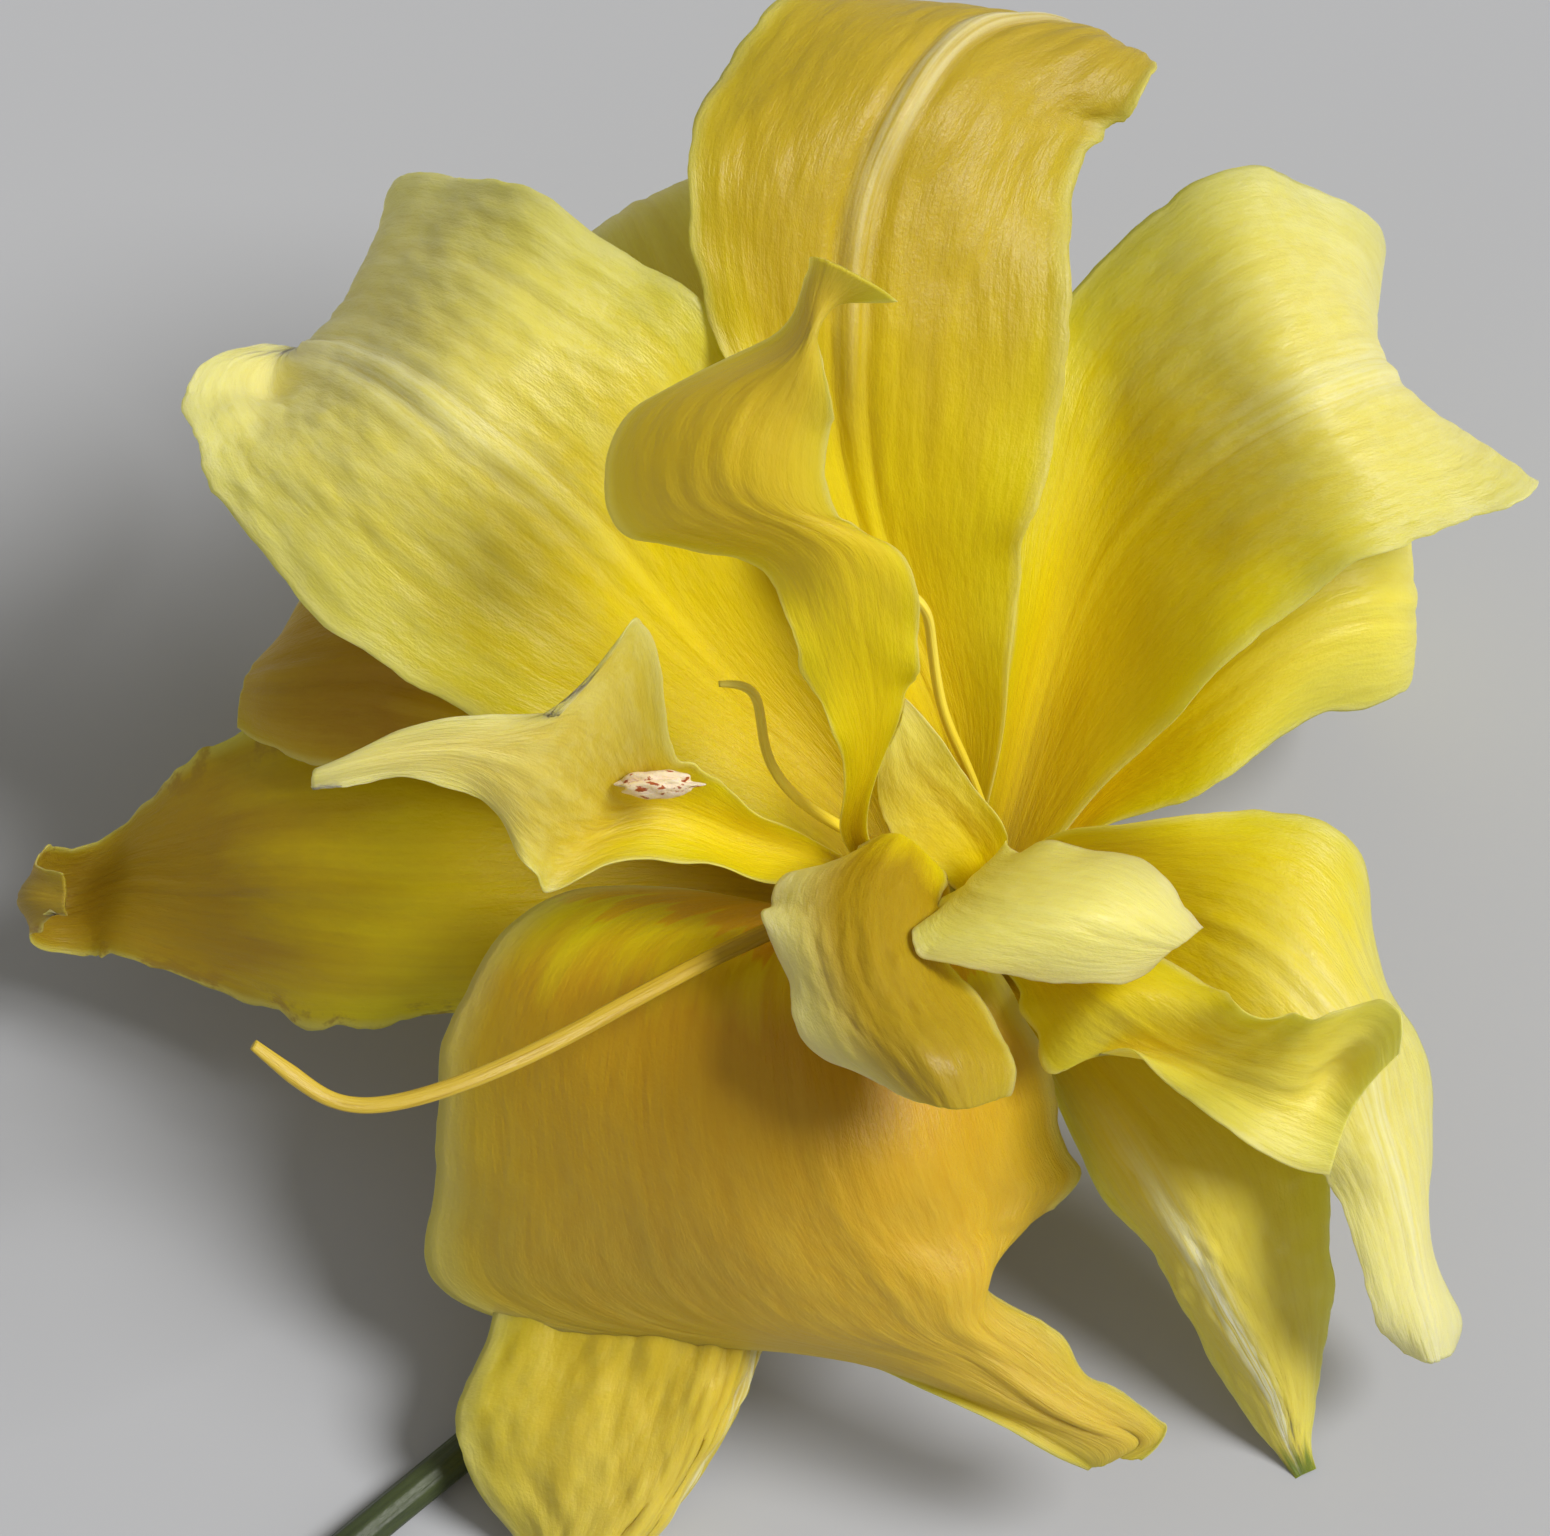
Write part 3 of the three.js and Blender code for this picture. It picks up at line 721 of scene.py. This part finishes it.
# Cells of noise in a millimetre across a tepal, and in one along it.
STREAKS = (0.3, 0.03, 0)
VEINS = (1.1, 0.035, 0)
PUCKERS = (0.85, 0.36, 0)
MIDRIB_LINES = (1.6, 0.03, 0)
BLOTCHES = (0.25, 0.2, 0)
CELLS = (5.0, 3.2, 0)
GRAIN = (1.9, 0.22, 0)

# The same in a radian around a thread, and in a millimetre along it.
THREAD_LINES = (2.5, 0.12, 0)
THREAD_FLECKS = (5.0, 1.2, 0)


def tepal_material(name, gold_end, blade, outer, gold=THROAT_GOLD, midrib=0.0, rib_width=2.5, rib_place=0.0,
                   green_tip=0.0, aged=0.0, pale_margin=None):
    """Fresh tepal: gold in the throat with painted shade at its very foot, paler outwards, fine veins and
    puckers along its length, the puckers lightened in places as painted highlights.

    The gold gives way to the blade's colour at the share gold_end of the length. Midrib is the strength
    of a white stripe, rib_width its half width and rib_place its distance to the right of the middle,
    in millimetres. Pale_margin is where a cream margin starts and is full, in the same way.
    """
    shader = Shader(name)
    petal = shader.field("petal")
    across = shader.split(petal)[0]
    zone = shader.split(shader.field("zone"))
    reach = zone[0]
    edge = zone[1]

    streak = shader.noise(petal, STREAKS, 2.0)
    drift = shader.math("MULTIPLY_ADD", streak, 0.2, -0.1)
    golden = shader.math("ADD", reach, drift)
    colour = shader.ramp(golden, [
        # The ramp's first stop is painted shade deep in the throat.
        (0.0, THROAT_SHADE_GOLD),
        (0.16, gold),
        (gold_end * 0.65, DEEP_YELLOW),
        (gold_end, blade),
        (0.95, outer),
    ])

    vein = shader.fade(shader.noise(petal, VEINS, 2.0, 0.6), 0.4, 0.62)
    colour = shader.mix(shader.math("MULTIPLY", vein, 0.1), colour, VEIN_TINT, "MULTIPLY")
    # Pale patches on the puckers, fading in from a fifth of the way out, are painted highlights.
    pucker = shader.noise(petal, PUCKERS, 3.0, 0.6)
    pucker_highlight_share = shader.math("MULTIPLY", shader.fade(pucker, 0.42, 0.62), shader.fade(reach, 0.2, 0.7))
    colour = shader.mix(shader.math("MULTIPLY", pucker_highlight_share, 0.28), colour, outer)
    rim = shader.math("MULTIPLY", shader.fade(edge, 0.9, 1.0), 0.35)
    colour = shader.mix(rim, colour, MARGIN_CREAM)
    if midrib:
        beside = shader.math("SUBTRACT", across, rib_place)
        near = shader.fade(shader.math("ABSOLUTE", beside), rib_width, 0.0)
        lines = shader.fade(shader.noise(petal, MIDRIB_LINES, 2.0), 0.3, 0.6)
        near = shader.math("MULTIPLY", near, lines)
        strength = shader.math("MULTIPLY", shader.fade(reach, 0.3, 0.65), midrib)
        colour = shader.mix(shader.math("MULTIPLY", near, strength), colour, MIDRIB_WHITE)
    if green_tip:
        share = shader.math("MULTIPLY", shader.fade(golden, 0.88, 0.99), green_tip)
        colour = shader.mix(share, colour, TIP_GREEN)
    if pale_margin:
        inner, outermost = pale_margin
        colour = shader.mix(shader.fade(across, inner, outermost), colour, MARGIN_CREAM)
    if aged:
        patch = shader.fade(shader.noise(petal, BLOTCHES, 4.0, 0.65), 0.5, 0.62)
        near_edge = shader.fade(edge, 0.7, 1.0)
        share = shader.math("MULTIPLY", shader.math("MULTIPLY", patch, near_edge), aged)
        colour = shader.mix(share, colour, AGED_BROWN)

    cells = shader.noise(petal, CELLS, 1.0)
    grain = shader.noise(petal, GRAIN, 2.0, 0.6)
    height = shader.math("MULTIPLY_ADD", grain, 0.55, pucker)
    height = shader.math("MULTIPLY_ADD", cells, 0.22, height)
    roughness = shader.math("MULTIPLY_ADD", cells, 0.3, 0.32)
    return shader.finish(
        Base_Color=colour, Roughness=roughness, Normal=shader.bump(height, 0.75, 0.22),
        Subsurface_Weight=0.75, Subsurface_Radius=FLESH_GLOW, Subsurface_Scale=PETAL_GLOW_DEPTH,
        Specular_IOR_Level=0.4,
    )


def thread_material(name, base, tip, stripe, glow, roughness=0.4, cut=None):
    """A thread-like stem: its colour drifts along its length, with fine lines along it.

    Glow is how much light passes through it, and cut the colour of its two ends, if they have their own.
    """
    shader = Shader(name)
    field = shader.field("petal")
    reach = shader.split(shader.field("zone"))[0]
    colour = shader.ramp(reach, [(0.0, base), (1.0, tip)])
    line = shader.noise(field, THREAD_LINES, 3.0)
    colour = shader.mix(shader.math("MULTIPLY", shader.fade(line, 0.45, 0.7), 0.5), colour, stripe)
    fleck = shader.noise(field, THREAD_FLECKS, 2.0)
    if cut:
        at_end = shader.split(field)[2]
        colour = shader.mix(shader.fade(at_end, 0.4, 0.6), colour, cut)
    height = shader.math("MULTIPLY_ADD", fleck, 0.4, line)
    return shader.finish(
        Base_Color=colour, Roughness=shader.math("MULTIPLY_ADD", fleck, 0.2, roughness - 0.1),
        Normal=shader.bump(height, 0.6, 0.15), Subsurface_Weight=glow, Subsurface_Radius=FLESH_GLOW,
        Subsurface_Scale=STEM_GLOW_DEPTH, Specular_IOR_Level=0.4,
    )


def anther_material():
    """Dry cream skin with rust-red spots."""
    shader = Shader("anther")
    place = shader.field("petal")
    spot = shader.fade(shader.noise(place, (3.0, 2.2, 2.2), 3.0), 0.56, 0.64)
    colour = shader.mix(spot, ANTHER_CREAM, ANTHER_RUST)
    grain = shader.noise(place, (9.0, 9.0, 9.0), 3.0)
    return shader.finish(
        Base_Color=colour, Roughness=0.6, Normal=shader.bump(grain, 0.7, 0.2),
        Subsurface_Weight=0.4, Subsurface_Radius=FLESH_GLOW, Subsurface_Scale=STEM_GLOW_DEPTH,
    )


# ---- the flower ----------------------------------------------------------------------------------
# Lengths are in millimetres: ruffle, sway, crinkle, rib and midrib are heights of relief, wave is from
# one ruffle to the next, crinkle_cell is a crinkle's width and length, jag the depth of the nibbles.
# A fold is its place along and across, its spread along and across, and its height. A lobe is its
# margin (-1 left, 1 right), its place and spread along, and how far it reaches out.

PETAL_LOOK = {
    "ruffle": 0.7, "wave": 19, "sway": 0.6, "crinkle": 0.1, "crinkle_cell": (1.3, 4), "rib": 0.09,
    "midrib": 0.2, "jag": 0.3, "thickness": 0.62,
}
SEPAL_LOOK = {
    "ruffle": 0.5, "wave": 21, "sway": 0.4, "crinkle": 0.06, "crinkle_cell": (1.3, 3), "rib": 0.07,
    "midrib": 0.2, "jag": 0.25, "thickness": 0.62,
}
PETALOID_LOOK = {
    "ruffle": 0.6, "wave": 11, "sway": 0.4, "crinkle": 0.05, "crinkle_cell": (1.1, 2.6), "rib": 0.03,
    "midrib": 0.08, "jag": 0.3, "thickness": 0.5,
}

PETAL_DETAILS = {
    "top_petal": {"midrib": 0.5, "crinkle": 0.16, "crinkle_cell": (1.5, 5), "rib": 0.13},
    "upper_right_petal": {},
    "upper_left_petal": {"crinkle": 0.2, "folds": [(0.82, 0.3, 0.06, 0.1, -2.4)]},
    "lower_right_petal": {},
    "bottom_petal": {
        "rib": 0.05, "midrib": 0.1,
        "lobes": [(-1, 0.435, 0.02, 1.2), (-1, 0.475, 0.018, -1.5), (-1, 0.96, 0.03, 1.5)],
        "folds": [(0.5, 0.2, 0.1, 0.05, -1.0)],
    },
}
SEPAL_DETAILS = {
    "left_sepal": {"jag": 0.5},
    "second_left_sepal": {},
    "back_left_sepal": {},
    "right_sepal": {"sway": 0.2, "rib": 0.04, "ruffle": 0.3},
    "front_right_sepal": {"crinkle": 0.25, "crinkle_cell": (1.5, 2.6), "midrib": 0.1},
    "front_left_sepal": {"crinkle": 0.45, "crinkle_cell": (1.5, 4.5)},
}
PETALOID_DETAILS = {
    "left_petaloid": {},
    "upper_petaloid": {},
    "lower_petaloid": {"crinkle": 0.12},
    "right_petaloid": {},
    "ruffled_petaloid": {"sway": 0.8, "ruffle": 0.9, "wave": 9, "folds": [(0.86, 0.42, 0.09, 0.2, -2.2)]},
    "inner_petaloid": {"jag": 0.1, "ruffle": 0.2},
}


def tepal_materials():
    """Materials for the tepals that are coloured apart, some darkened as painted shade, and one for each
    group's others.
    """
    return {
        "petal": tepal_material(
            "petal", 0.5, srgb(222, 208, 84), srgb(234, 226, 156), midrib=0.35, rib_width=5,
        ),
        # The top petal's darker gold, darkest on its outer part, is partly its own deeper gold and partly
        # painted shade where it curves back.
        "top_petal": tepal_material(
            "gold_shaded_petal", 0.45, srgb(196, 170, 18), srgb(180, 156, 50), midrib=0.5, rib_width=2.2,
        ),
        "bottom_petal": tepal_material(
            "deep_petal", 0.26, srgb(206, 160, 6), srgb(220, 192, 70), gold=srgb(226, 176, 0),
        ),
        "sepal": tepal_material("sepal", 0.4, srgb(232, 216, 76), srgb(236, 224, 112)),
        # The left sepal's dull dark gold is partly ageing and partly painted shade; its brown patches near
        # the margins are ageing.
        "left_sepal": tepal_material(
            "old_shaded_sepal", 0.5, srgb(184, 150, 14), srgb(172, 146, 40), aged=0.8,
        ),
        "second_left_sepal": tepal_material(
            "shaded_sepal", 0.6, srgb(184, 146, 4), srgb(190, 158, 20),
        ),
        "front_left_sepal": tepal_material(
            "crinkled_sepal", 0.5, srgb(214, 186, 44), srgb(218, 198, 90), midrib=0.7, rib_width=3.5,
            rib_place=-8,
        ),
        "front_right_sepal": tepal_material(
            "striped_sepal", 0.35, srgb(230, 208, 66), srgb(230, 214, 100), midrib=1.0, rib_width=3.5,
            rib_place=2.5, green_tip=0.9,
        ),
        "petaloid": tepal_material("petaloid", 0.45, srgb(226, 204, 44), srgb(234, 220, 104)),
        "left_petaloid": tepal_material(
            "cream_petaloid", 0.5, srgb(206, 182, 46), srgb(226, 214, 132),
        ),
        "upper_petaloid": tepal_material(
            "long_petaloid", 0.5, srgb(214, 186, 20), srgb(206, 180, 50),
        ),
        "lower_petaloid": tepal_material(
            "dark_petaloid", 0.4, srgb(168, 138, 4), srgb(176, 150, 30), gold=srgb(206, 176, 6),
            pale_margin=(3, 12),
        ),
        "right_petaloid": tepal_material(
            "pale_petaloid", 0.3, srgb(236, 224, 100), srgb(240, 230, 140),
        ),
    }


def build_tepals():
    materials = tepal_materials()
    groups = [
        (PETALS, PETAL_DETAILS, PETAL_LOOK, INNER_RING, "petal", 1),
        (SEPALS, SEPAL_DETAILS, SEPAL_LOOK, OUTER_RING, "sepal", 101),
        (PETALOIDS, PETALOID_DETAILS, PETALOID_LOOK, PETALOID_RING, "petaloid", 201),
    ]
    for tepals, details, look, ring, slot, first_seed in groups:
        for number, (name, tepal) in enumerate(tepals.items()):
            own_look = {"seed": first_seed + number, **look, **details[name]}
            build_tepal(name, tepal, ring, own_look, materials.get(name, materials[slot]))


STYLE_ROUTE = [
    [0, 0, -8.6], [-4, -2, 1], [-11, -7, 6], [-23, -16, 11], [-36, -26, 15],
    [-48, -31, 16], [-54, -30, 18], [-58, -28, 21],
]
LEFT_FILAMENT_ROUTE = [
    [-6, 1, 2], [-9, 0, 7], [-13, 0, 12], [-16, 2, 17], [-17, 4, 23], [-20, 4, 25],
]
RIGHT_FILAMENT_ROUTE = [
    [3, 6, 0], [1, 6, 9], [-1, 8, 15], [-2, 11, 21], [-3, 12, 25], [-6, 13, 28],
]
STALK_ROUTE = [
    [0, 0, -26.4], [0, 0, -28], [-2, -2, -32.5], [-6, -6, -34.6], [-11, -10, -35],
    [-30, -28, -35], [-53, -49, -35], [-62, -58, -35],
]
STYLE_RADII = [0.85, 0.85, 0.8, 0.75, 0.72, 0.7, 0.66, 0.62, 0.7, 0.45]
FILAMENT_RADII = [0.7, 0.68, 0.65, 0.62, 0.6, 0.3]
STALK_RADII = [2.2, 1.9, 1.72, 1.68, 1.66, 1.66, 1.66]


def build_thread(name, suffix, slot, material, route, radii, **form):
    vertices, faces, field = sweep(route, radii, **form)
    reach = field[:, 1] / field[:, 1].max()
    fields = {"petal": field, "zone": reach_zone(reach)}
    add_piece(name + suffix, name, material, vertices, faces, fields)


def build_threads():
    style = thread_material("style", srgb(176, 142, 4), srgb(212, 184, 66), srgb(158, 122, 2), 0.2)
    filament = thread_material(
        "filament", srgb(246, 218, 20), srgb(248, 230, 100), srgb(240, 206, 20), 0.15,
    )
    # The stalk's dark green is partly its own colour and partly painted shade; it gets darker towards its
    # cut end.
    stalk = thread_material(
        "stalk", srgb(104, 116, 52), srgb(52, 62, 44), srgb(36, 46, 32), 0.1, 0.45, srgb(150, 160, 96),
    )
    build_thread("style", ".thread", "style", style, STYLE_ROUTE, STYLE_RADII,
                 flat=0.75, ridges=2, ridge_depth=0.12, steps=160)
    filament_routes = {"left_filament": LEFT_FILAMENT_ROUTE, "right_filament": RIGHT_FILAMENT_ROUTE}
    for name, route in filament_routes.items():
        build_thread(name, ".thread", "filament", filament, route, FILAMENT_RADII, flat=0.7)
    build_thread("stalk", ".stem", "stalk", stalk, STALK_ROUTE, STALK_RADII,
                 sides=48, ridges=9, ridge_depth=0.035, steps=200)


TUBE_BASE = -26.3  # height above the throat where the funnel ends
TUBE_PROFILE = [  # radius and height, from the floor of its hollow over the rim and down to the base
    (0.0, -14), (3.2, -13), (6.2, -11), (8.0, -9.2), (8.6, -9.3), (8.4, -11), (7.4, -14),
    (5.4, -18), (3.6, -22), (2.7, -25), (2.3, -26.2), (0.0, TUBE_BASE),
]
TUBE_COLOUR_RISE = 17  # millimetres from the green of the base to the yellow of the rim
TUBE_RIBS = 6
TUBE_RIB_DEPTH = 0.035


def build_tube():
    """The ribbed funnel under the tepals, open inside, narrowing to the ovary."""
    t = np.linspace(0, 1, TUBE_RINGS)
    at_points = np.linspace(0, 1, len(TUBE_PROFILE))
    line = np.array([np.interp(t, at_points, column) for column in zip(*TUBE_PROFILE)]).T
    turn = np.arange(TUBE_SIDES) / TUBE_SIDES * TAU
    fading = ease(line[:, 1], -26, -20)[:, None]
    radius = line[:, :1] * (1 + TUBE_RIB_DEPTH * np.cos(TUBE_RIBS * turn)[None, :] * fading)
    height = np.broadcast_to(line[:, 1:], radius.shape)
    rings = np.stack([radius * np.cos(turn), radius * np.sin(turn), height], -1)[1:-1]
    ends = [[0, 0, TUBE_PROFILE[0][1]], [0, 0, TUBE_BASE]]
    vertices = np.concatenate([rings.reshape(-1, 3), ends])
    faces = closed_ring_faces(len(rings), TUBE_SIDES, flipped=True)
    around = np.arctan2(vertices[:, 1], vertices[:, 0]) * 3
    reach = (vertices[:, 2] - TUBE_BASE) / TUBE_COLOUR_RISE
    field = np.stack([around, vertices[:, 2], np.zeros_like(reach)], -1)
    material = thread_material(
        "tube", srgb(120, 132, 44), srgb(206, 186, 40), srgb(150, 150, 50), 0.3, 0.45,
    )
    fields = {"petal": field, "zone": reach_zone(reach)}
    add_piece("perianth_tube.funnel", "perianth_tube", material, vertices, faces, fields)


ANTHER_POLE = 0.001  # how far from its poles, in radians, the scrap's first and last rings stand
ANTHER_SEED = 77


def build_anther():
    """What is left of an anther on the left petaloid: a crumpled cream scrap with rust-red spots."""
    low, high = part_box("anther_remnant")
    centre = (np.array((low + high) / 2) - np.array(THROAT)) / MM
    size = np.array(high - low) / MM
    rise = np.linspace(ANTHER_POLE, math.pi - ANTHER_POLE, ANTHER_RINGS)[:, None]
    turn = (np.arange(ANTHER_SIDES) / ANTHER_SIDES * TAU)[None, :]
    ring = np.sin(rise)
    ball = np.stack([np.cos(rise) + 0 * turn, ring * np.cos(turn), ring * np.sin(turn)], -1)
    lump = value_noise(ball[..., 0] * 3 + 9, ball[..., 1] * 3 + ball[..., 2] * 2 + 9, ANTHER_SEED)
    groove = bell(ball[..., 1], 0, 0.25) * (ball[..., 2] > 0)
    ball = ball * (1 + 0.18 * lump - 0.25 * groove)[..., None]
    field = ball.reshape(-1, 3)
    vertices = centre + field * size / 2
    faces = ring_faces(ANTHER_RINGS, ANTHER_SIDES, flipped=True)
    faces.append(tuple(range(ANTHER_SIDES)))
    last = (ANTHER_RINGS - 1) * ANTHER_SIDES
    faces.append(tuple(reversed(range(last, last + ANTHER_SIDES))))
    add_piece("anther_remnant.scrap", "anther_remnant", anther_material(), vertices, faces,
              {"petal": field})


# ---- stage, light and camera ---------------------------------------------------------------------

FLOOR_SIZE = 6  # metres
SUN_STRENGTH = 2.95
SUN_WIDTH = math.radians(26)  # how wide the light looks from the flower, which softens its shadows
SUN_COLOUR = (1.0, 0.985, 0.95)
SUN_PLACE = Vector((0.62, -0.1, 0.78))  # the direction that the light comes from
SKY_COLOUR = (1.0, 0.97, 0.88, 1)
SKY_STRENGTH = 0.3
CAMERA_RISE = math.radians(60)  # how steeply the camera looks down
CAMERA_DISTANCE = 500  # millimetres from the point that it looks at
FRAME_WIDTH = 135.6  # how many millimetres the picture is wide at that point
AIM = Vector((-15.3, 7.7, 4.45))  # that point, in millimetres about the throat
SENSOR_WIDTH = 36  # millimetres
FARTHEST_SEEN = 20  # metres


def build_stage():
    shader = Shader("stage")
    place_on_floor = shader.node("TexCoord").outputs["Object"]
    cloud = shader.noise(place_on_floor, (3.0, 3.0, 3.0), 3.0)
    colour = shader.ramp(cloud, [(0.3, srgb(179, 181, 187)), (0.7, srgb(184, 186, 192))])
    material = shader.finish(Base_Color=colour, Roughness=0.9, Specular_IOR_Level=0.1)
    bpy.ops.mesh.primitive_plane_add(size=FLOOR_SIZE, location=(0, 0, cad_bounds[0][2]))
    floor = bpy.context.object
    floor.name = "floor"
    floor.data.materials.append(material)


def build_lights():
    data = bpy.data.lights.new("window", "SUN")
    data.energy = SUN_STRENGTH
    data.angle = SUN_WIDTH
    data.color = SUN_COLOUR
    window = bpy.data.objects.new("window", data)
    window.rotation_euler = SUN_PLACE.to_track_quat("Z", "Y").to_euler()
    bpy.context.scene.collection.objects.link(window)
    world = bpy.data.worlds.new("world")
    world.use_nodes = True
    background = world.node_tree.nodes["Background"]
    background.inputs["Color"].default_value = SKY_COLOUR
    background.inputs["Strength"].default_value = SKY_STRENGTH
    bpy.context.scene.world = world


def build_camera():
    data = bpy.data.cameras.new("camera")
    data.sensor_width = SENSOR_WIDTH
    data.lens = SENSOR_WIDTH * CAMERA_DISTANCE / FRAME_WIDTH
    data.clip_end = FARTHEST_SEEN
    camera = bpy.data.objects.new("camera", data)
    back = Vector((0, -math.cos(CAMERA_RISE), math.sin(CAMERA_RISE)))
    camera.location = THROAT + (AIM + back * CAMERA_DISTANCE) * MM
    camera.rotation_euler = (math.pi / 2 - CAMERA_RISE, 0, 0)
    bpy.context.scene.collection.objects.link(camera)
    bpy.context.scene.camera = camera


build_tepals()
build_threads()
build_tube()
build_anther()
build_stage()
build_lights()
build_camera()
bpy.context.scene.view_settings.view_transform = "Standard"
